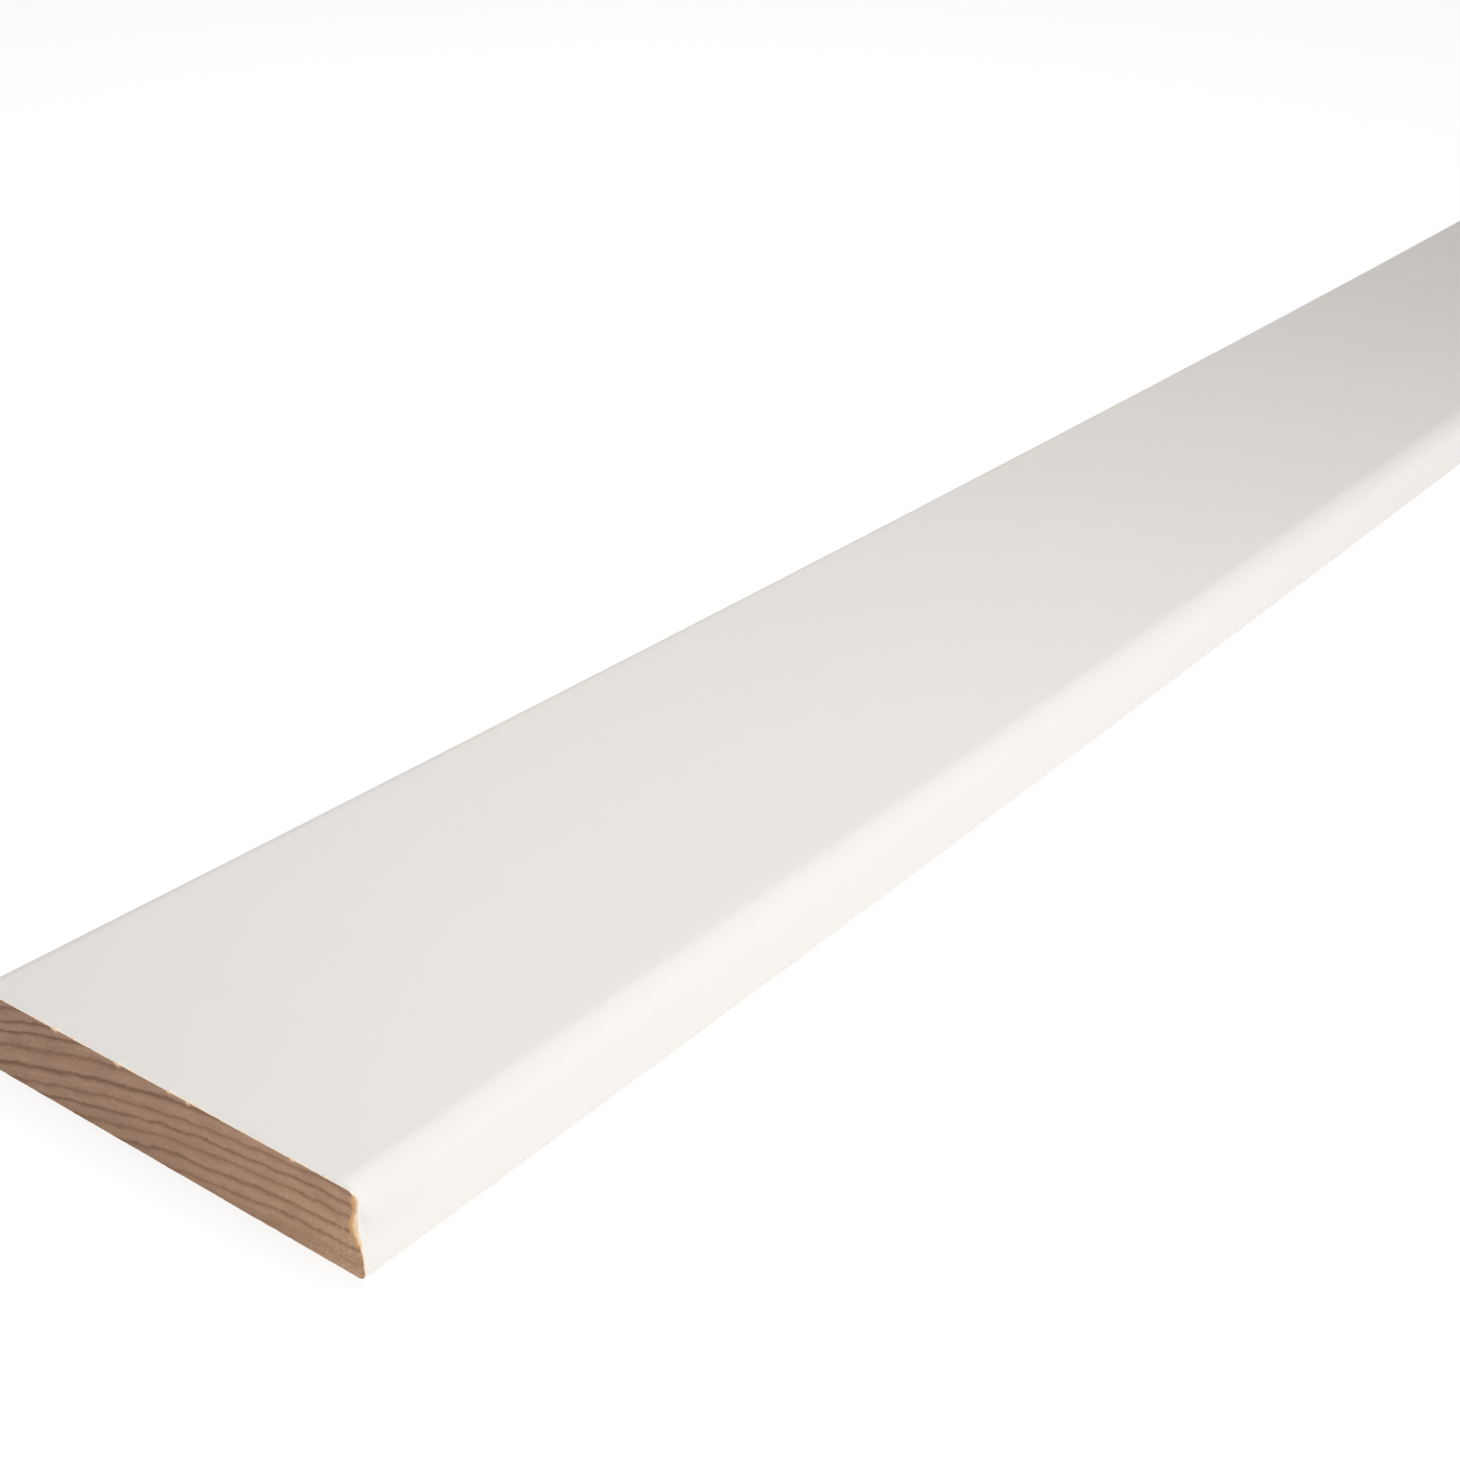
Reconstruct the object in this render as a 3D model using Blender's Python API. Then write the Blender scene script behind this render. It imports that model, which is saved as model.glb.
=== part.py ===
"""Edge trim moulding: one length of flat softwood trim, painted white.

The length runs along X and the width along Y. The strip lies on its back, the side that goes
against the wall, with the painted face up. Like most thin timber it has bowed a little, so it
rests on the middle of its back and both ends stand up. The origin is the middle of the back.
"""
import math

import bmesh
import bpy

# Driving dimensions, in metres.
LENGTH = 0.550
WIDTH = 0.070
THICKNESS = 0.012
FACE_EDGE_RADIUS = 0.0035   # both long edges of the painted face are rounded
BACK_EDGE_RADIUS = 0.0010   # both long edges of the back are only eased
BOW_RISE = 0.0016           # how far the timber's bow lifts each end
REST_LENGTH = 0.040         # the straight stretch in the middle that it rests on

# The saw tore a little wood out of the front upright corner of the near end.
TEAR_BELOW_FACE = 0.0016    # from the painted face down to where the tear starts
TEAR_HEIGHT = 0.0048
TEAR_DEPTH = 0.0019         # into the width
TEAR_REACH = 0.0010         # along the length
TEAR_NOTCHES = 2.5          # how many times its ragged outline goes in and out
TEAR_RAGGEDNESS = 0.30      # how much of its depth the outline wanders by

# How finely the round edges, the torn corner and the bow are faceted.
FACE_EDGE_STEPS = 12
BACK_EDGE_STEPS = 4
FRONT_STEPS = 20
BOW_STEPS = 8               # from the resting stretch to each end
SHARP_ANGLE = math.radians(30)

PAINT_COLOUR = (0.80, 0.775, 0.74, 1.0)
WOOD_COLOUR = (0.62, 0.44, 0.28, 1.0)
PAINT_ROUGHNESS = 0.45
WOOD_ROUGHNESS = 0.80


def clear_scene():
    """Starts from an empty scene."""
    for thing in list(bpy.data.objects):
        bpy.data.objects.remove(thing, do_unlink=True)


def make_material(name, colour, roughness):
    """A plain surface of one colour."""
    material = bpy.data.materials.new(name)
    material.use_nodes = True
    shader = material.node_tree.nodes["Principled BSDF"]
    shader.inputs["Base Color"].default_value = colour
    shader.inputs["Roughness"].default_value = roughness
    shader.inputs["Metallic"].default_value = 0.0
    return material


def corner(centre_y, centre_z, radius, start, steps):
    """A quarter circle of the outline, anticlockwise as seen looking along -X, with its ends."""
    points = []
    for step in range(steps + 1):
        angle = start + 0.5 * math.pi * step / steps
        points.append((centre_y + radius * math.cos(angle), centre_z + radius * math.sin(angle)))
    return points


def section():
    """The cross-section as (y, z) points: back, rear edge, face, front edge."""
    face_y = 0.5 * WIDTH - FACE_EDGE_RADIUS
    face_z = THICKNESS - FACE_EDGE_RADIUS
    back_y = 0.5 * WIDTH - BACK_EDGE_RADIUS
    back_z = BACK_EDGE_RADIUS
    points = corner(back_y, back_z, BACK_EDGE_RADIUS, -0.5 * math.pi, BACK_EDGE_STEPS)
    points += corner(face_y, face_z, FACE_EDGE_RADIUS, 0.0, FACE_EDGE_STEPS)
    points += corner(-face_y, face_z, FACE_EDGE_RADIUS, 0.5 * math.pi, FACE_EDGE_STEPS)
    for step in range(1, FRONT_STEPS):
        height = face_z + (back_z - face_z) * step / FRONT_STEPS
        points.append((-0.5 * WIDTH, height))
    points += corner(-back_y, back_z, BACK_EDGE_RADIUS, math.pi, BACK_EDGE_STEPS)
    return points


def tear_depth(y, z):
    """How far the saw tore the outline back at a point of the near end's front corner."""
    along = (THICKNESS - TEAR_BELOW_FACE - z) / TEAR_HEIGHT
    if y > 0.0 or along <= 0.0 or along >= 1.0:
        return 0.0
    swell = math.sin(math.pi * along) ** 0.5
    ragged = 1.0 - TEAR_RAGGEDNESS * math.sin(TEAR_NOTCHES * 2.0 * math.pi * along)
    return TEAR_DEPTH * swell * ragged / (1.0 + TEAR_RAGGEDNESS)


def bow(x):
    """How high the bow lifts the strip at a place along its length."""
    bowed_length = 0.5 * (LENGTH - REST_LENGTH)
    along = max(0.0, abs(x) - 0.5 * REST_LENGTH) / bowed_length
    return BOW_RISE * along ** 2


def stations():
    """Where along the length the section is placed, behind the torn corner."""
    steps = [0.5 * REST_LENGTH + 0.5 * (LENGTH - REST_LENGTH) * step / BOW_STEPS
             for step in range(BOW_STEPS + 1)]
    inner = [-x for x in reversed(steps[:-1])] + steps
    return [-0.5 * LENGTH + TEAR_REACH] + inner


def ring(bm, x, outline):
    """One closed ring of vertices across the strip."""
    return [bm.verts.new((x, y, z + bow(x))) for y, z in outline]


def make_trim():
    """The strip: its section drawn from one square sawn end to the other."""
    outline = section()
    torn = [tear_depth(y, z) for y, z in outline]
    near_outline = [(y + depth, z) for (y, z), depth in zip(outline, torn)]

    bm = bmesh.new()
    rings = [ring(bm, -0.5 * LENGTH, near_outline)]
    rings += [ring(bm, x, outline) for x in stations()]

    paint, wood = 0, 1
    back = len(outline) - 1     # the side of the outline that closes it, along the back
    for level, (this_ring, next_ring) in enumerate(zip(rings, rings[1:])):
        for this in range(len(outline)):
            after = (this + 1) % len(outline)
            torn_here = level == 0 and (torn[this] > 0.0 or torn[after] > 0.0)
            face = bm.faces.new((this_ring[this], next_ring[this], next_ring[after], this_ring[after]))
            face.material_index = wood if this == back or torn_here else paint
    bm.faces.new(rings[0]).material_index = wood
    bm.faces.new(list(reversed(rings[-1]))).material_index = wood
    bmesh.ops.recalc_face_normals(bm, faces=bm.faces)

    mesh = bpy.data.meshes.new("edge_trim")
    bm.to_mesh(mesh)
    bm.free()
    mesh.materials.append(make_material("white_paint", PAINT_COLOUR, PAINT_ROUGHNESS))
    mesh.materials.append(make_material("bare_pine", WOOD_COLOUR, WOOD_ROUGHNESS))
    mesh.shade_smooth()
    mesh.set_sharp_from_angle(angle=SHARP_ANGLE)

    trim = bpy.data.objects.new("edge_trim", mesh)
    bpy.context.scene.collection.objects.link(trim)
    return trim


clear_scene()
make_trim()
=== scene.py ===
"""The looks of the edge trim moulding: one closed mesh with paint, sawn ends and a bare back.

Lengths are in metres. The frame is the part's own: X along the strip, Y across it, Z out of its
painted face. The near end, at -X, is the sawn end that faces the camera.
"""

import math

import bpy
import numpy as np
from mathutils import Euler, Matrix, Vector


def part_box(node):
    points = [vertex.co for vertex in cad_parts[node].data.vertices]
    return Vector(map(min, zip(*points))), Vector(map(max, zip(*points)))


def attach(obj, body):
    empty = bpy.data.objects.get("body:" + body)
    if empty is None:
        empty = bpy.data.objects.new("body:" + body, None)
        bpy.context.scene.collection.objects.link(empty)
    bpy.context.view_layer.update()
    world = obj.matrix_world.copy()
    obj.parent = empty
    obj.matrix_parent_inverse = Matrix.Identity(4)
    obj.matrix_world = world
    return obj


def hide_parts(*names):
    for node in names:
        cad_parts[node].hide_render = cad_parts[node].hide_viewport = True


NODE = "edge_trim"
MM = 0.001

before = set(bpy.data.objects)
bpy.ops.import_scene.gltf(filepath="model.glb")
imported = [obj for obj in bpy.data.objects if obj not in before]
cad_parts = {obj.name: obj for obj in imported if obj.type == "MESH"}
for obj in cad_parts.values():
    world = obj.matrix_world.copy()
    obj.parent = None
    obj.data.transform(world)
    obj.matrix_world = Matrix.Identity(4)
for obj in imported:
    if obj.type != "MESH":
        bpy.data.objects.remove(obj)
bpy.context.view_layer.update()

# The part's own sizes, read from its solid.
low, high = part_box(NODE)
cad_points = np.array([vertex.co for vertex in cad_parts[NODE].data.vertices])
distance_from_middle = np.abs(cad_points[:, 0])
at_rest = distance_from_middle < distance_from_middle.min() + 0.1 * MM
HALF_LENGTH = 0.5 * (high.x - low.x)
HALF_WIDTH = 0.5 * (high.y - low.y)
THICKNESS = float(cad_points[at_rest, 2].max())
BOW_RISE = high.z - THICKNESS
HALF_REST = float(distance_from_middle.min())

# The section's roundings.
FACE_EDGE_RADIUS = 3.5 * MM
BACK_EDGE_RADIUS = 1.0 * MM

# The torn corner's outline as the photograph shows it: heights, and how deep it goes at each.
TEAR_HEIGHTS = np.array([1.0, 4.3, 4.6, 5.6, 5.8, 6.7, 7.7, 8.6, 9.4, 10.4, 11.4, 12.0]) * MM
TEAR_DEPTHS = np.array([0.1, 0.25, 1.1, 1.4, 2.1, 2.1, 1.8, 1.25, 1.15, 1.4, 1.1, 0.3]) * MM
TEAR_REACH = 0.5 * MM       # along the strip
TEAR_SCOOP = 2.2            # how hollow it is, where 1 is a plain slope
LEAST_TEAR = 0.15 * MM      # its least depth beyond the dented edge
TEAR_WAVES = ((21, 0.16, 0.6 * MM), (22, 0.10, 0.3 * MM))   # noise seed, share of the depth, size

# Beside it the painted edge is pressed in: heights, and how deep at each.
DENT_HEIGHTS = np.array([2.6, 4.0, 4.8, 5.6, 6.6, 7.6, 8.6, 9.6, 10.6, 12.0]) * MM
DENT_DEPTHS = np.array([0.05, 0.25, 0.5, 0.8, 1.0, 0.9, 0.7, 0.5, 0.45, 0.5]) * MM
DENT_LENGTH = 8.0 * MM      # over which it fades along the strip
DENT_WIDTH = 4.0 * MM       # over which it fades into the width

# The lower part of the tear is painted paler than the upper one: painted light where it faces the front
# lamps, painted shade above.
LOBE_HEIGHTS = np.array([8.6, 9.2]) * MM
LOBE_PAINTED_LIGHT = np.array([0.85, 0.60])

# Crumbs of fibre that the saw left on the near end's upper edge: distance from the front edge,
# half width and height.
CRUMBS = np.array([[10.2, 0.45, 0.24], [27.7, 0.40, 0.30], [31.0, 0.40, 0.28], [40.4, 0.55, 0.32],
                   [52.3, 0.55, 0.32]]) * MM
CRUMB_LENGTH = 0.35 * MM    # along the strip
CRUMB_DROP = 0.45 * MM      # down the sawn end
CRUMB_LEAN = 0.5            # how far they stand out of the end, as a share of their height
CRUMB_HEIGHTS = (0.05 * MM, 0.16 * MM)      # from and to which a crumb turns pale
CRUMB_PALENESS = 0.8
FRAYED_EDGE = 0.02 * MM     # how far the rest of that edge stands up, on average

# The saw also pushed the torn corner up out of the strip's round edge.
BURR_WIDTH = 1.1 * MM
BURR_CORNER = 0.8 * MM      # the height of the rounding that it left
BURR_LENGTH = 1.1 * MM      # over which it fades along the strip

# The fineness of the mesh.
ARC_STEPS = 26
COLUMN_SPACING = 0.24 * MM
ROWS = 48
FIRST_STEP = 0.13 * MM
STEP_GROWTH = 1.33
LONGEST_STEP = 22.0 * MM
END_ZONE = 3.0 * MM         # over which the sawn end's relief dies out along the strip
SHARP_ANGLE = math.radians(42.0)

# The tree the strip was cut from. Its pith lies below the strip and just beyond its front edge,
# and slants a little against the strip's length. The radii are those of the dark bands.
PITH_BEYOND_FRONT = 10.0 * MM
PITH_BELOW_BACK = 214.0 * MM
PITH_SLANT_ACROSS = 0.011
PITH_SLANT_DOWN = 0.016
BAND_RADII = np.array([216.2, 218.3, 220.5, 222.5, 224.3, 226.0, 228.3, 230.9, 233.1, 234.5, 236.3]) * MM
OTHER_BAND_SPACING = 2.2 * MM
OTHER_BANDS = 12
FAINT_BAND = OTHER_BANDS    # the first of BAND_RADII: its band is barely darker than its rings
FAINTNESS = 0.85
MOST_FADING = 0.45          # of the other bands, which fade by chance

# How the rings wander: noise seed, how far, and the waves' size round the pith, outward and along.
RING_WAVES = ((11, 0.30 * MM, 7.0 * MM, 5.0 * MM, 60.0 * MM),
              (12, 0.20 * MM, 2.2 * MM, 2.0 * MM, 25.0 * MM),
              (13, 0.09 * MM, 0.7 * MM, 0.9 * MM, 9.0 * MM))

# Between which shares of a ring the late wood begins and, at the next ring's start, ends.
LATE_WOOD_BEGINS = (0.66, 0.96)
LATE_WOOD_ENDS = (0.06, 0.16)

# The sawn faces' relief: how deep the early wood, the saw's ripples, the torn fibre and the pits are.
EARLY_WOOD_DIP = 0.050 * MM
RIPPLE_DEPTH = 0.014 * MM
RIPPLE_PITCH = 1.15 * MM
FIBRE_DEPTH = 0.030 * MM
PIT_DEPTH = 0.10 * MM
RELIEF_MARGIN = 0.7 * MM    # it is shallower this close to the section's upper and lower edges

# The near end's lower front corner, round which the wood is paler and nicked by the saw.
FRONT_CORNER = (-HALF_LENGTH, -HALF_WIDTH, BOW_RISE)

# The order of the materials on the mesh.
PAINTED, SAWN, BACK = 0, 1, 2

# The noise: how many random values it has, and how far apart neighbours along each axis are in them.
NOISE_VALUES = 4096
NOISE_STEPS = (1, 57, 1613)


def value_noise(seed, *coordinates):
    """Smooth noise from -1 to 1 over one to three coordinates, one lattice cell to a unit."""
    table = np.random.default_rng(seed).uniform(-1.0, 1.0, NOISE_VALUES)
    base = [np.floor(c).astype(np.int64) for c in coordinates]
    share = [c - b for c, b in zip(coordinates, base)]
    share = [s * s * (3.0 - 2.0 * s) for s in share]
    total = 0.0
    for corner in range(2 ** len(coordinates)):
        weight, index = 1.0, 0
        for axis, (b, s) in enumerate(zip(base, share)):
            up = (corner >> axis) & 1
            weight = weight * (s if up else 1.0 - s)
            index = index + (b + up) * NOISE_STEPS[axis]
        total = total + weight * table[index % NOISE_VALUES]
    return total


def smooth(low_edge, high_edge, value):
    """0 below one edge, 1 above the other, smooth between."""
    share = np.clip((value - low_edge) / (high_edge - low_edge), 0.0, 1.0)
    return share * share * (3.0 - 2.0 * share)


def bow(x):
    """How high the timber's bow lifts the strip at a place along it."""
    along = np.clip(np.abs(x) - HALF_REST, 0.0, None) / (HALF_LENGTH - HALF_REST)
    return BOW_RISE * along ** 2


def section_low(y):
    """The height of the section's underside."""
    inward = np.clip(HALF_WIDTH - np.abs(y), 0.0, BACK_EDGE_RADIUS)
    return BACK_EDGE_RADIUS - np.sqrt(BACK_EDGE_RADIUS ** 2 - (BACK_EDGE_RADIUS - inward) ** 2)


def section_high(y):
    """The height of the section's face."""
    inward = np.clip(HALF_WIDTH - np.abs(y), 0.0, FACE_EDGE_RADIUS)
    return THICKNESS - FACE_EDGE_RADIUS + np.sqrt(FACE_EDGE_RADIUS ** 2 - (FACE_EDGE_RADIUS - inward) ** 2)


def burr(y):
    """How far the saw pushed the near end's front upper corner up, out of its round edge."""
    inward = np.clip(HALF_WIDTH + y, 0.0, BURR_WIDTH) / BURR_WIDTH
    pushed_to = THICKNESS - BURR_CORNER * (1.0 - np.sqrt(1.0 - (1.0 - inward) ** 2))
    return np.where(y < 0.0, np.maximum(pushed_to - section_high(y), 0.0), 0.0)


def growth(x, y, z):
    """Which growth ring a point of the tree is in: a whole number in the middle of each dark band."""
    pith_y = -HALF_WIDTH - PITH_BEYOND_FRONT + PITH_SLANT_ACROSS * (x + HALF_LENGTH)
    pith_z = -PITH_BELOW_BACK - PITH_SLANT_DOWN * (x + HALF_LENGTH)
    across, up = y - pith_y, z - pith_z
    radius = np.hypot(across, up)
    around = np.arctan2(across, up) * PITH_BELOW_BACK
    for seed, reach, turning, outward, along in RING_WAVES:
        radius = radius + reach * value_noise(seed, around / turning, radius / outward, x / along)
    inner = BAND_RADII[0] - OTHER_BAND_SPACING * np.arange(OTHER_BANDS, 0, -1)
    outer = BAND_RADII[-1] + OTHER_BAND_SPACING * np.arange(1, OTHER_BANDS + 1)
    radii = np.concatenate([inner, BAND_RADII, outer])
    return np.interp(radius, radii, np.arange(len(radii)))


def late_wood(ring):
    """How far a place in its ring is late wood, which is dense and stands proud of a saw cut."""
    share = ring - np.floor(ring)
    return np.maximum(smooth(*LATE_WOOD_BEGINS, share), 1.0 - smooth(*LATE_WOOD_ENDS, share))


def dent(y, z):
    """How far the near end's front edge is pressed into the width."""
    inward = np.clip((y + HALF_WIDTH) / DENT_WIDTH, 0.0, 1.0)
    return np.interp(z, DENT_HEIGHTS, DENT_DEPTHS) * (1.0 - inward)


def tear_depth(z):
    """How far into the width the torn corner goes at a height."""
    ragged = 1.0
    for seed, strength, size in TEAR_WAVES:
        ragged = ragged + strength * value_noise(seed, z / size)
    return np.interp(z, TEAR_HEIGHTS, TEAR_DEPTHS) * ragged


def tear_offset(y, z):
    """How far into the length the torn corner reaches at a point of the near end.

    Also how near the point is to the strip's edge: 0 where the tear starts, 1 at the edge.
    """
    edge = np.interp(z, DENT_HEIGHTS, DENT_DEPTHS)
    depth = tear_depth(z)
    inward = (y + HALF_WIDTH - edge) / np.maximum(depth - edge, LEAST_TEAR)
    share = np.clip(1.0 - inward, 0.0, 1.0)
    fibres = 1.0 + 0.25 * value_noise(23, z / (0.25 * MM), y / (0.8 * MM))
    reach = TEAR_REACH * np.sqrt(depth / TEAR_DEPTHS.max()) * share ** TEAR_SCOOP * fibres
    return reach, share


def crumbs(y, z):
    """How far the crumbs of fibre stand proud of the near end's upper edge."""
    from_front = y + HALF_WIDTH
    proud = FRAYED_EDGE * (1.0 + value_noise(24, y / (0.9 * MM)))
    for place, half_width, height in CRUMBS:
        proud = proud + height * np.exp(-((from_front - place) / half_width) ** 2)
    below_edge = section_high(y) - z
    return proud * np.exp(-(below_edge / CRUMB_DROP) ** 2)


def end_relief(x_side, y, z, seed):
    """How far a sawn face dips into the wood: soft early wood, saw ripples and torn fibre."""
    ring = growth(np.full_like(y, x_side), y, z)
    dips = EARLY_WOOD_DIP * (1.0 - late_wood(ring))
    wander = 1.5 * value_noise(seed, y / (6.0 * MM), z / (4.0 * MM))
    ripple = RIPPLE_DEPTH * (1.0 + np.sin((y + 0.12 * z) * 2.0 * math.pi / RIPPLE_PITCH + wander))
    fibre = FIBRE_DEPTH * (1.0 + value_noise(seed + 1, y / (0.5 * MM), z / (0.35 * MM)))
    pits = PIT_DEPTH * smooth(0.45, 0.85, value_noise(seed + 2, y / (0.7 * MM), z / (1.3 * MM)))
    to_edge = np.minimum(section_high(y) - z, z - section_low(y))
    return (dips + ripple + fibre + pits) * (0.35 + 0.65 * smooth(0.0, RELIEF_MARGIN, to_edge))


def columns():
    """Where an end face's columns stand across the width, closest in the round edges."""
    arc = FACE_EDGE_RADIUS * (1.0 - np.cos(np.linspace(0.0, 0.5 * math.pi, ARC_STEPS + 1)))
    inner_half = HALF_WIDTH - FACE_EDGE_RADIUS
    inner_count = int(round(2.0 * inner_half / COLUMN_SPACING))
    inner = np.linspace(-inner_half, inner_half, inner_count + 1)
    return np.concatenate([-HALF_WIDTH + arc[:-1], inner, HALF_WIDTH - arc[-2::-1]])


def steps_along():
    """The distances from an end at which the section is placed, up to the middle of the strip."""
    places, step = [], FIRST_STEP
    place = FIRST_STEP
    while place < HALF_LENGTH - 0.7 * LONGEST_STEP:
        places.append(place)
        step = min(step * STEP_GROWTH, LONGEST_STEP)
        place += step
    return np.array(places)


def rim_indices(column_count, row_count):
    """The grid indices of an end face's edge, in order round the section."""
    grid = np.arange(column_count * row_count).reshape(column_count, row_count)
    return np.concatenate([grid[:, 0], grid[-1, 1:], grid[-2::-1, -1], grid[0, -2:0:-1]])


def build_strip():
    """The strip's vertices, faces, the material of each face and what each vertex carries."""
    across = columns()
    share = np.linspace(0.0, 1.0, ROWS + 1)
    bottom, top = section_low(across), section_high(across)
    grid_y = np.repeat(across, ROWS + 1)
    grid_z = (bottom[:, None] + (top - bottom)[:, None] * share[None, :]).ravel()
    near_z = grid_z + np.repeat(burr(across), ROWS + 1) * np.tile(share, len(across))
    rim = rim_indices(len(across), ROWS + 1)
    count = len(grid_y)

    near_y = grid_y + dent(grid_y, near_z)
    tear, torn_share = tear_offset(near_y, near_z)
    proud = crumbs(grid_y, grid_z)
    near_x = -HALF_LENGTH + end_relief(-HALF_LENGTH, near_y, near_z, 31) + tear - CRUMB_LEAN * proud
    lift = near_z[rim] - grid_z[rim]
    far_x = HALF_LENGTH - end_relief(HALF_LENGTH, grid_y, grid_z, 41)

    stations = steps_along()
    ring_xs, ring_ys, ring_zs = [], [], []
    for place in stations:
        pull = np.clip(1.0 - place / END_ZONE, 0.0, 1.0)
        ring_xs.append(-HALF_LENGTH + place + (near_x[rim] + HALF_LENGTH) * pull)
        ring_ys.append(grid_y[rim] + (near_y - grid_y)[rim] * math.exp(-(place / DENT_LENGTH) ** 2))
        ring_zs.append(grid_z[rim] + proud[rim] * math.exp(-place / CRUMB_LENGTH)
                       + lift * math.exp(-(place / BURR_LENGTH) ** 2))
    ring_xs.append(np.zeros(len(rim)))
    ring_ys.append(grid_y[rim])
    ring_zs.append(grid_z[rim])
    for place in stations[::-1]:
        pull = np.clip(1.0 - place / END_ZONE, 0.0, 1.0)
        ring_xs.append(HALF_LENGTH - place + (far_x[rim] - HALF_LENGTH) * pull)
        ring_ys.append(grid_y[rim])
        ring_zs.append(grid_z[rim])

    x = np.concatenate([near_x] + ring_xs + [far_x])
    y = np.concatenate([near_y] + ring_ys + [grid_y])
    z = np.concatenate([near_z + proud] + ring_zs + [grid_z])

    faces, slots = [], []
    grid = np.arange(count).reshape(len(across), ROWS + 1)
    far_start = count + len(rim) * len(ring_xs)
    quads = np.stack([grid[:-1, :-1], grid[:-1, 1:], grid[1:, 1:], grid[1:, :-1]], axis=-1).reshape(-1, 4)
    faces.append(quads)
    slots.append(np.full(len(quads), SAWN))
    faces.append(quads[:, ::-1] + far_start)
    slots.append(np.full(len(quads), SAWN))

    loops = [rim] + [count + len(rim) * k + np.arange(len(rim)) for k in range(len(ring_xs))]
    loops.append(rim + far_start)
    on_back = (grid_z[rim] == 0.0) & (np.roll(grid_z[rim], -1) == 0.0)
    for this, after in zip(loops, loops[1:]):
        faces.append(np.stack([this, np.roll(this, -1), np.roll(after, -1), after], axis=-1))
        slots.append(np.where(on_back, BACK, PAINTED))
    # The torn share is scaled by height into painted light: the lower part of the tear paler, as if lit
    # from the front.
    torn_and_painted_light = np.zeros(len(x))
    torn_and_painted_light[:count] = np.maximum(torn_share * np.interp(near_z, LOBE_HEIGHTS, LOBE_PAINTED_LIGHT),
                              CRUMB_PALENESS * smooth(*CRUMB_HEIGHTS, proud))
    return np.stack([x, y, z + bow(x)], axis=-1), np.concatenate(faces), np.concatenate(slots), torn_and_painted_light, z


def make_mesh():
    """The strip's mesh. It keeps the growth ring, the torn wood with its painted light and the millimetres
    above the back.
    """
    points, faces, slots, torn_and_painted_light, flat_z = build_strip()
    mesh = bpy.data.meshes.new("trim_strip")
    mesh.vertices.add(len(points))
    mesh.vertices.foreach_set("co", points.astype(np.float32).ravel())
    mesh.loops.add(faces.size)
    mesh.loops.foreach_set("vertex_index", faces.astype(np.int32).ravel())
    mesh.polygons.add(len(faces))
    mesh.polygons.foreach_set("loop_start", np.arange(0, faces.size, 4, dtype=np.int32))
    mesh.polygons.foreach_set("material_index", slots.astype(np.int32))
    mesh.update(calc_edges=True)
    mesh.validate()
    ring = growth(points[:, 0], points[:, 1], flat_z)
    for name, values in (("growth", ring), ("torn_and_painted_light", torn_and_painted_light), ("above_back", flat_z / MM)):
        attribute = mesh.attributes.new(name, "FLOAT", "POINT")
        attribute.data.foreach_set("value", values.astype(np.float32))
    mesh.shade_smooth()
    mesh.set_sharp_from_angle(angle=SHARP_ANGLE)
    return mesh


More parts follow.
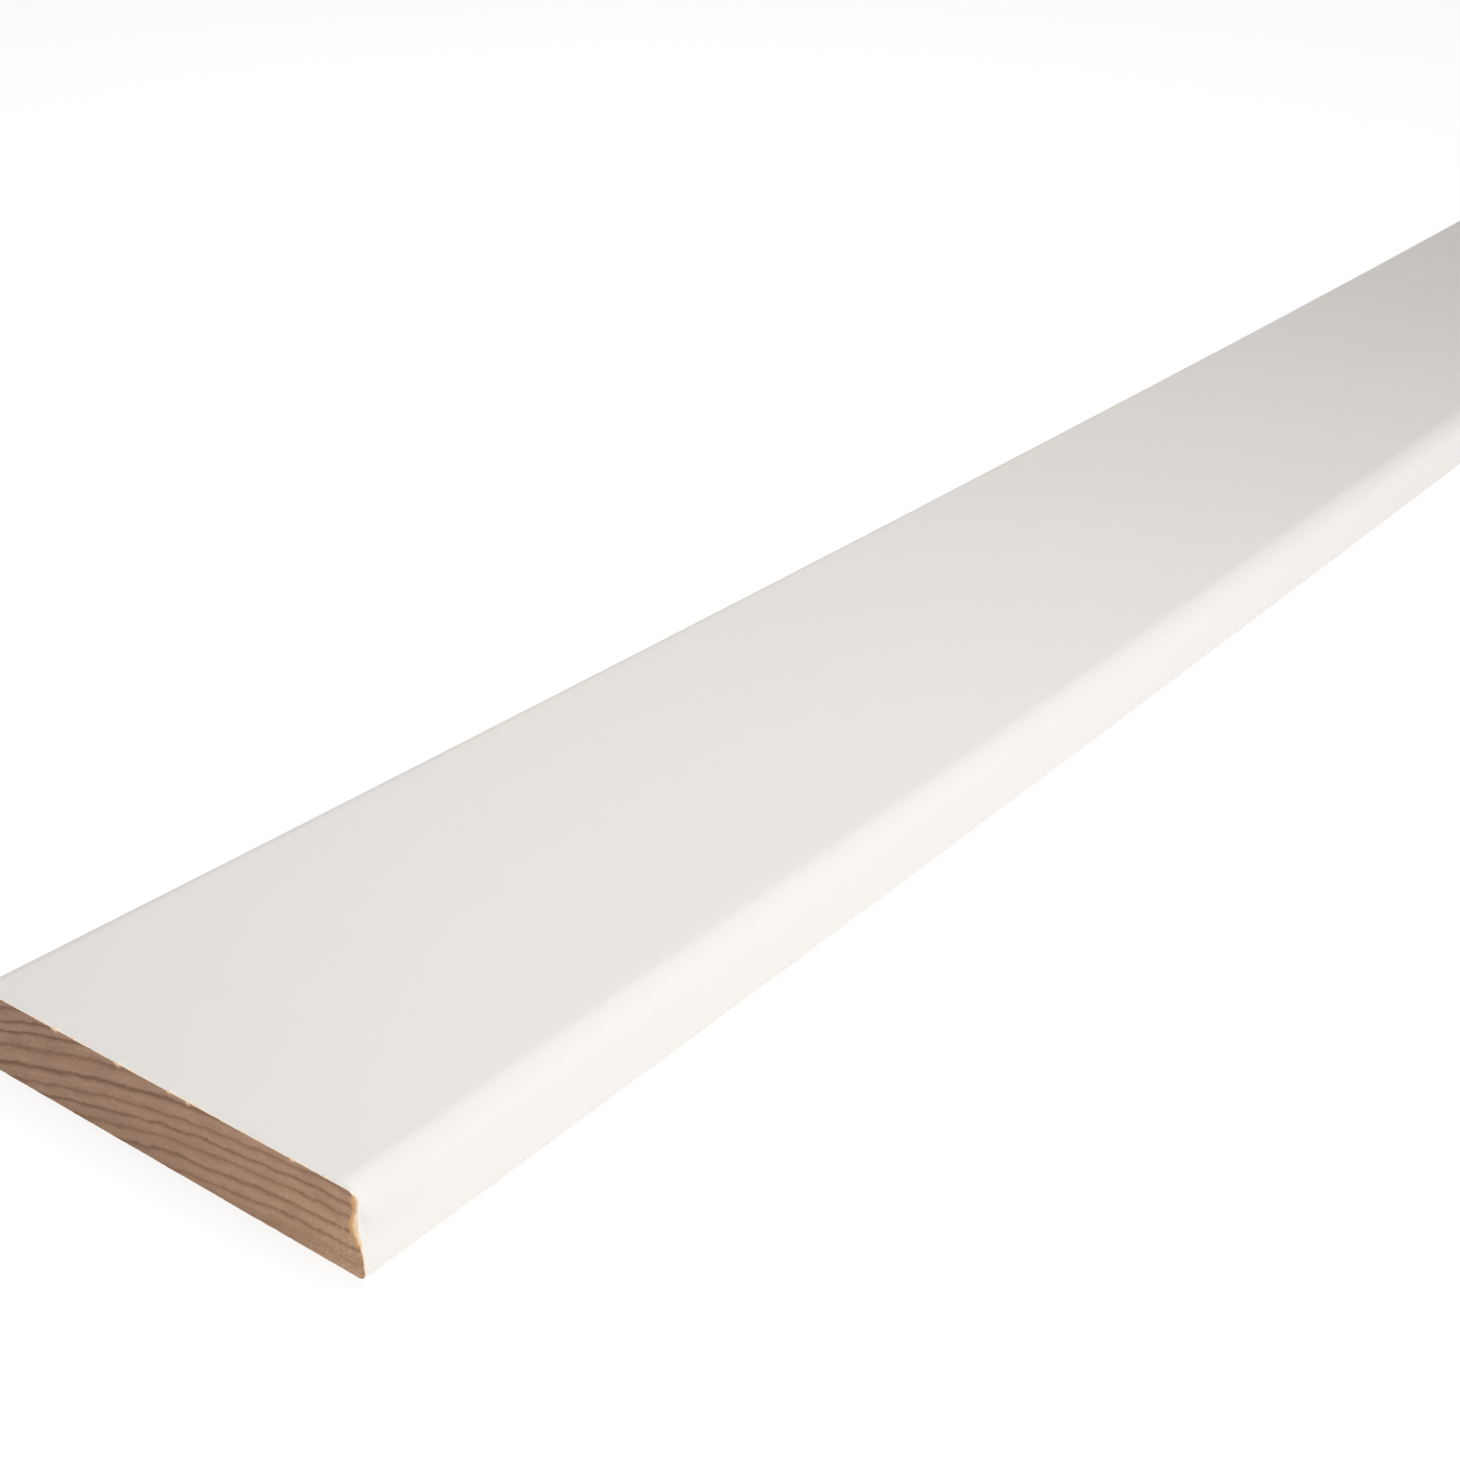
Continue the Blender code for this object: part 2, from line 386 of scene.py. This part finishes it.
class Graph:
    """The nodes of one material."""

    def __init__(self, name):
        self.material = bpy.data.materials.new(name)
        self.material.use_nodes = True
        self.tree = self.material.node_tree
        self.shader = self.tree.nodes["Principled BSDF"]

    def add(self, kind, inputs=(), output=0, **settings):
        """Adds a node, sets it up, feeds its inputs and gives one of its outputs."""
        node = self.tree.nodes.new(kind)
        for name, value in settings.items():
            setattr(node, name, value)
        for key, value in dict(inputs).items():
            self.feed(node.inputs[key], value)
        return node.outputs[output]

    def feed(self, socket, value):
        if isinstance(value, bpy.types.NodeSocket):
            self.tree.links.new(value, socket)
        else:
            socket.default_value = value

    def calc(self, operation, *values, clamp=False):
        return self.add("ShaderNodeMath", dict(enumerate(values)), operation=operation, use_clamp=clamp)

    def remap(self, value, from_low, from_high, to_low, to_high):
        """Turns one range of a value into another, smoothly and clamped at both ends."""
        inputs = {"Value": value, "From Min": from_low, "From Max": from_high,
                  "To Min": to_low, "To Max": to_high}
        return self.add("ShaderNodeMapRange", inputs, interpolation_type="SMOOTHSTEP")

    def blend(self, share, first, second):
        """Mixes two colours."""
        node = self.tree.nodes.new("ShaderNodeMix")
        node.data_type = "RGBA"
        self.feed(node.inputs["Factor"], share)
        self.feed(node.inputs[6], first)
        self.feed(node.inputs[7], second)
        return node.outputs[2]

    def mix(self, share, first, second):
        """Mixes two numbers."""
        return self.add("ShaderNodeMix", {"Factor": share, "A": first, "B": second})

    def carried(self, name):
        """A number that the mesh carries."""
        return self.add("ShaderNodeAttribute", attribute_name=name, output="Fac")

    def place(self):
        """The part's own coordinates."""
        return self.add("ShaderNodeTexCoord", output="Object")

    def coordinate(self, axis):
        return self.add("ShaderNodeSeparateXYZ", {"Vector": self.place()}, output=axis)

    def away_from(self, point):
        """The distance from a point."""
        inputs = {0: self.place(), 1: point}
        return self.add("ShaderNodeVectorMath", inputs, output=1, operation="DISTANCE")

    def noise(self, sizes, detail=2.0, roughness=0.5):
        """Noise from 0 to 1, with a size along each axis."""
        scale = [1.0 / size for size in sizes]
        scaled = self.add("ShaderNodeMapping", {"Vector": self.place(), "Scale": scale})
        inputs = {"Vector": scaled, "Scale": 1.0, "Detail": detail, "Roughness": roughness}
        return self.add("ShaderNodeTexNoise", inputs)

    def ramp(self, value, stops):
        """A colour ramp through (position, colour) stops."""
        node = self.tree.nodes.new("ShaderNodeValToRGB")
        elements = node.color_ramp.elements
        while len(elements) < len(stops):
            elements.new(0.5)
        for element, (position, colour) in zip(elements, stops):
            element.position = position
            element.color = (*colour, 1.0)
        self.feed(node.inputs["Fac"], value)
        return node.outputs["Color"]

    def finish(self, colour, roughness, height):
        """Gives the surface its colour, roughness and fine relief."""
        self.feed(self.shader.inputs["Base Color"], colour)
        self.feed(self.shader.inputs["Roughness"], roughness)
        self.feed(self.shader.inputs["Specular IOR Level"], SPECULAR)
        bump = self.add("ShaderNodeBump", {"Strength": 1.0, "Distance": 1.0, "Height": height})
        self.feed(self.shader.inputs["Normal"], bump)
        return self.material


EARLY_WOOD = (0.495, 0.301, 0.199)
MIDDLE_WOOD = (0.423, 0.248, 0.157)
LATE_WOOD = (0.294, 0.158, 0.093)
# Torn wood in a shaded and a lit copy, painted shade and painted light; the lit one also stands for light
# shining through the thin fibre.
TORN_PAINTED_SHADE = (0.70, 0.40, 0.19)
TORN_PAINTED_LIGHT = (0.93, 0.67, 0.45)
LOOSE_FIBRE = (0.84, 0.745, 0.635)
PAINT = (0.775, 0.748, 0.720)
PAINT_WARM = (0.765, 0.733, 0.697)
# The paint thinned over the back's edges, painted a darker grey that is also painted shade along the lower
# edge.
PAINT_THIN_AND_SHADED = (0.56, 0.535, 0.50)
SPECULAR = 0.25

# The wood's colour at each share of a ring, and the torn wood's from a painted shaded copy to a painted
# lit copy towards the strip's edge, and then loose fibre.
RING_COLOURS = [(0.0, LATE_WOOD), (0.07, LATE_WOOD), (0.17, EARLY_WOOD), (0.58, EARLY_WOOD),
                (0.80, MIDDLE_WOOD), (0.96, LATE_WOOD)]
TORN_SHADE_TO_LIGHT = [(0.0, TORN_PAINTED_SHADE), (0.40, TORN_PAINTED_SHADE), (0.65, TORN_PAINTED_LIGHT), (0.85, TORN_PAINTED_LIGHT),
                (1.0, LOOSE_FIBRE)]

# Specks of dust in the paint: distance from the near end, distance from the front edge, size.
NIBS = np.array([[23.3, 20.3, 0.45], [26.4, 20.0, 0.35], [28.3, 20.1, 0.40], [38.5, 17.4, 0.50],
                 [41.2, 18.0, 0.40], [44.0, 18.7, 0.45]]) * MM
NIB_HEIGHT = 0.12           # as a share of that size


def wood_look(graph, fresh_and_painted_light):
    """Pine: its colour, roughness and fine height, from the growth rings that the mesh carries.

    The fresh share is 0 on old wood, and grows to 1 on pale fibre that the saw has torn loose; on the torn
    corner its paler end is also painted light, the torn fibre lit from the front. Some bands are fainter
    than others. The wood is painted paler towards the strip's front edge, painted light from the side the
    lamps are on, and it is paler round the near end's lower front corner.
    """
    ring = graph.carried("growth")
    bands = graph.ramp(graph.calc("FRACT", ring), RING_COLOURS)
    whole = graph.calc("FLOOR", graph.calc("ADD", ring, 0.5))
    each = graph.add("ShaderNodeTexWhiteNoise", {"W": whole}, noise_dimensions="1D")
    faint = graph.calc("MULTIPLY", graph.calc("COMPARE", whole, float(FAINT_BAND), 0.5), FAINTNESS)
    fading = graph.calc("MAXIMUM", graph.calc("MULTIPLY", each, MOST_FADING), faint)
    faded = graph.blend(fading, bands, (*MIDDLE_WOOD, 1.0))
    blotch = graph.noise((14 * MM, 5 * MM, 3 * MM), 3.0)
    fibre = graph.noise((6 * MM, 0.35 * MM, 0.30 * MM), 3.0, 0.6)
    # Painted light: the wood is made paler towards the front edge, the side the lamps light, and darker
    # towards the back.
    across = graph.add("ShaderNodeMapRange", {
        "Value": graph.coordinate("Y"), "From Min": -HALF_WIDTH, "From Max": 0.6 * HALF_WIDTH,
        "To Min": 1.22, "To Max": 0.94})
    tone_and_painted_light = graph.calc("MULTIPLY", graph.remap(blotch, 0.3, 0.7, 0.93, 1.07),
                      graph.remap(fibre, 0.25, 0.75, 0.90, 1.08))
    tone_and_painted_light = graph.calc("MULTIPLY", tone_and_painted_light, across)
    corner = graph.away_from(FRONT_CORNER)
    tone_and_painted_light = graph.calc("MULTIPLY", tone_and_painted_light, graph.remap(corner, 3 * MM, 13 * MM, 1.10, 1.0))
    toned_with_painted_light = graph.add("ShaderNodeVectorMath", {0: faded, "Scale": tone_and_painted_light}, operation="SCALE")
    nicks = graph.calc("ADD", graph.noise((0.45 * MM, 0.45 * MM, 0.35 * MM), 2.0),
                       graph.remap(corner, 4 * MM, 11 * MM, 0.10, 0.0))
    specks = graph.remap(nicks, 0.64, 0.74, 0.0, 0.45)
    speckled = graph.blend(specks, toned_with_painted_light, (*TORN_PAINTED_LIGHT, 1.0))
    # The torn wood runs from its painted shaded copy to its painted lit copy.
    broken = graph.ramp(fresh_and_painted_light, TORN_SHADE_TO_LIGHT)
    colour = graph.blend(graph.remap(fresh_and_painted_light, 0.03, 0.25, 0.0, 1.0), speckled, broken)
    roughness = graph.remap(fibre, 0.2, 0.8, 0.70, 0.90)
    height = graph.calc("MULTIPLY", fibre, 0.06 * MM)
    return colour, roughness, height


def nibs(graph):
    """The height of the specks of dust that dried into the paint."""
    total = 0.0
    for from_end, from_front, size in NIBS:
        x, y = from_end - HALF_LENGTH, from_front - HALF_WIDTH
        away = graph.away_from((x, y, THICKNESS + float(bow(x))))
        total = graph.calc("ADD", total, graph.remap(away, 0.0, size, NIB_HEIGHT * size, 0.0))
    return total


def paint_look(graph):
    """Satin white paint: its colour, roughness and fine height. It thins over the back's edges, and there
    it is painted darker grey, partly thin paint and partly painted shade along the lower edge.
    """
    cloud = graph.noise((70 * MM, 25 * MM, 25 * MM), 2.0)
    even = graph.blend(cloud, (*PAINT, 1.0), (*PAINT_WARM, 1.0))
    uneven = graph.calc("MULTIPLY", graph.noise((6 * MM, 1.5 * MM, 1.5 * MM), 3.0), 0.7)
    # Partly thin paint and partly painted shade: darker grey over the back's edges, along the strip's
    # lower edge.
    thin_and_shaded = graph.remap(graph.calc("ADD", graph.carried("above_back"), uneven), 0.35, 1.15, 0.75, 0.0)
    colour = graph.blend(thin_and_shaded, even, (*PAINT_THIN_AND_SHADED, 1.0))
    peel = graph.calc("MULTIPLY", graph.noise((1.1 * MM, 0.8 * MM, 0.8 * MM), 2.0), 0.006 * MM)
    grain = graph.calc("MULTIPLY", graph.noise((30 * MM, 0.9 * MM, 0.9 * MM), 2.0), 0.008 * MM)
    roughness = graph.remap(graph.noise((8 * MM, 3 * MM, 3 * MM), 3.0), 0.3, 0.7, 0.40, 0.48)
    return colour, roughness, graph.calc("ADD", graph.calc("ADD", peel, grain), nibs(graph))


def paint_over_wood(graph, wood_share, fresh_and_painted_light):
    """Joins the two looks by how far the wood is bare."""
    wood, paint = wood_look(graph, fresh_and_painted_light), paint_look(graph)
    return graph.finish(graph.blend(wood_share, paint[0], wood[0]),
                        graph.mix(wood_share, paint[1], wood[1]),
                        graph.mix(wood_share, paint[2], wood[2]))


def painted_material():
    """White paint, chipped off along the sawn edges."""
    graph = Graph("white_paint")
    from_end = graph.calc("SUBTRACT", HALF_LENGTH, graph.calc("ABSOLUTE", graph.coordinate("X")))
    chips = graph.noise((2.0 * MM, 1.0 * MM, 1.0 * MM), 4.0, 0.75)
    reach = graph.calc("MULTIPLY", graph.remap(chips, 0.40, 0.70, 0.08 * MM, 0.50 * MM),
                       graph.remap(graph.carried("above_back"), 7.0, 11.0, 0.5, 1.0))
    bare = graph.remap(graph.calc("SUBTRACT", from_end, reach), -0.08 * MM, 0.05 * MM, 1.0, 0.0)
    fresh_and_painted_light = graph.remap(chips, 0.35, 0.65, 1.0, 0.93)
    return paint_over_wood(graph, graph.calc("MAXIMUM", bare, graph.carried("torn_and_painted_light")), fresh_and_painted_light)


def sawn_material():
    """Bare pine, cut across or torn."""
    graph = Graph("sawn_pine")
    return graph.finish(*wood_look(graph, graph.carried("torn_and_painted_light")))


def back_material():
    """Bare planed pine, with paint that strayed round the long edges."""
    graph = Graph("planed_back")
    inward = graph.calc("SUBTRACT", HALF_WIDTH, graph.calc("ABSOLUTE", graph.coordinate("Y")))
    stray = graph.remap(graph.noise((9 * MM, 2.5 * MM, 2.5 * MM), 4.0, 0.6), 0.3, 0.7, 0.6 * MM, 4.2 * MM)
    bare = graph.remap(graph.calc("SUBTRACT", inward, stray), -0.3 * MM, 0.5 * MM, 0.0, 1.0)
    return paint_over_wood(graph, bare, 0.0)


def make_strip():
    mesh = make_mesh()
    for material in (painted_material(), sawn_material(), back_material()):
        mesh.materials.append(material)
    strip = bpy.data.objects.new("trim_strip", mesh)
    bpy.context.scene.collection.objects.link(strip)
    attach(strip, "root")
    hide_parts(NODE)


# The studio: the floor, the world's strength high up and near the horizon, the lights and the
# camera, which was fitted to the photograph.
FLOOR_HALF = 4.0
FLOOR_COLOUR = (0.18, 0.18, 0.18, 1.0)
FLOOR_GLOW = 0.88
WORLD_LIGHT = 0.06
HORIZON_LIGHT = 0.90
HORIZON_HEIGHTS = (0.07, 0.22)
LIT_PLACE = (-0.1, 0.0, 0.0)
LIGHTS = (("low_front", (-0.15, -1.20, 0.25), 0.5, 4.1),    # name, place, side, power
          ("front", (-0.25, -0.55, 0.40), 0.4, 1.3),
          ("near_top", (-0.20, -0.10, 0.45), 0.3, 1.10),
          ("far_top", (0.35, 0.50, 0.90), 0.8, 5.7))
CAMERA_PLACE = (-0.39220, -0.17543, 0.15750)
CAMERA_TURN = (63.628, 0.411, -52.869)
CAMERA_LENS = 51.315


def make_floor():
    """A pale floor that glows a little, so that it comes out as white as the photograph's ground."""
    mesh = bpy.data.meshes.new("floor")
    corners = [(-1.0, -1.0), (1.0, -1.0), (1.0, 1.0), (-1.0, 1.0)]
    mesh.from_pydata([(x * FLOOR_HALF, y * FLOOR_HALF, 0.0) for x, y in corners], [], [(0, 1, 2, 3)])
    graph = Graph("pale_floor")
    graph.feed(graph.shader.inputs["Base Color"], FLOOR_COLOUR)
    graph.feed(graph.shader.inputs["Roughness"], 0.9)
    graph.feed(graph.shader.inputs["Specular IOR Level"], 0.0)
    graph.feed(graph.shader.inputs["Emission Color"], (1.0, 1.0, 1.0, 1.0))
    graph.feed(graph.shader.inputs["Emission Strength"], FLOOR_GLOW)
    mesh.materials.append(graph.material)
    floor = bpy.data.objects.new("floor", mesh)
    bpy.context.scene.collection.objects.link(floor)


def make_light(name, place, side, power):
    """A square white lamp that faces the strip."""
    light = bpy.data.lights.new(name, "AREA")
    light.shape = "SQUARE"
    light.size = side
    light.energy = power
    lamp = bpy.data.objects.new(name, light)
    lamp.location = place
    lamp.rotation_euler = (Vector(LIT_PLACE) - Vector(place)).to_track_quat("-Z", "Y").to_euler()
    bpy.context.scene.collection.objects.link(lamp)


def make_world():
    """A dim studio whose walls are white low down, so that the floor has no visible end."""
    world = bpy.data.worlds.new("studio")
    world.use_nodes = True
    tree = world.node_tree
    background = tree.nodes["Background"]
    background.inputs["Color"].default_value = (1.0, 1.0, 1.0, 1.0)
    direction = tree.nodes.new("ShaderNodeTexCoord")
    parts = tree.nodes.new("ShaderNodeSeparateXYZ")
    light = tree.nodes.new("ShaderNodeMapRange")
    light.interpolation_type = "SMOOTHSTEP"
    light.inputs["From Min"].default_value, light.inputs["From Max"].default_value = HORIZON_HEIGHTS
    light.inputs["To Min"].default_value = HORIZON_LIGHT
    light.inputs["To Max"].default_value = WORLD_LIGHT
    tree.links.new(direction.outputs["Generated"], parts.inputs[0])
    tree.links.new(parts.outputs["Z"], light.inputs["Value"])
    tree.links.new(light.outputs[0], background.inputs["Strength"])
    bpy.context.scene.world = world


def make_camera():
    camera = bpy.data.cameras.new("camera")
    camera.lens = CAMERA_LENS
    camera.sensor_width = 36.0
    camera.clip_start = 0.01
    viewer = bpy.data.objects.new("camera", camera)
    viewer.location = CAMERA_PLACE
    viewer.rotation_euler = Euler([math.radians(angle) for angle in CAMERA_TURN], "XYZ")
    bpy.context.scene.collection.objects.link(viewer)
    bpy.context.scene.camera = viewer


make_strip()
make_floor()
for lamp in LIGHTS:
    make_light(*lamp)
make_world()
make_camera()
scene = bpy.context.scene
scene.view_settings.view_transform = "Standard"
scene.view_settings.look = "None"
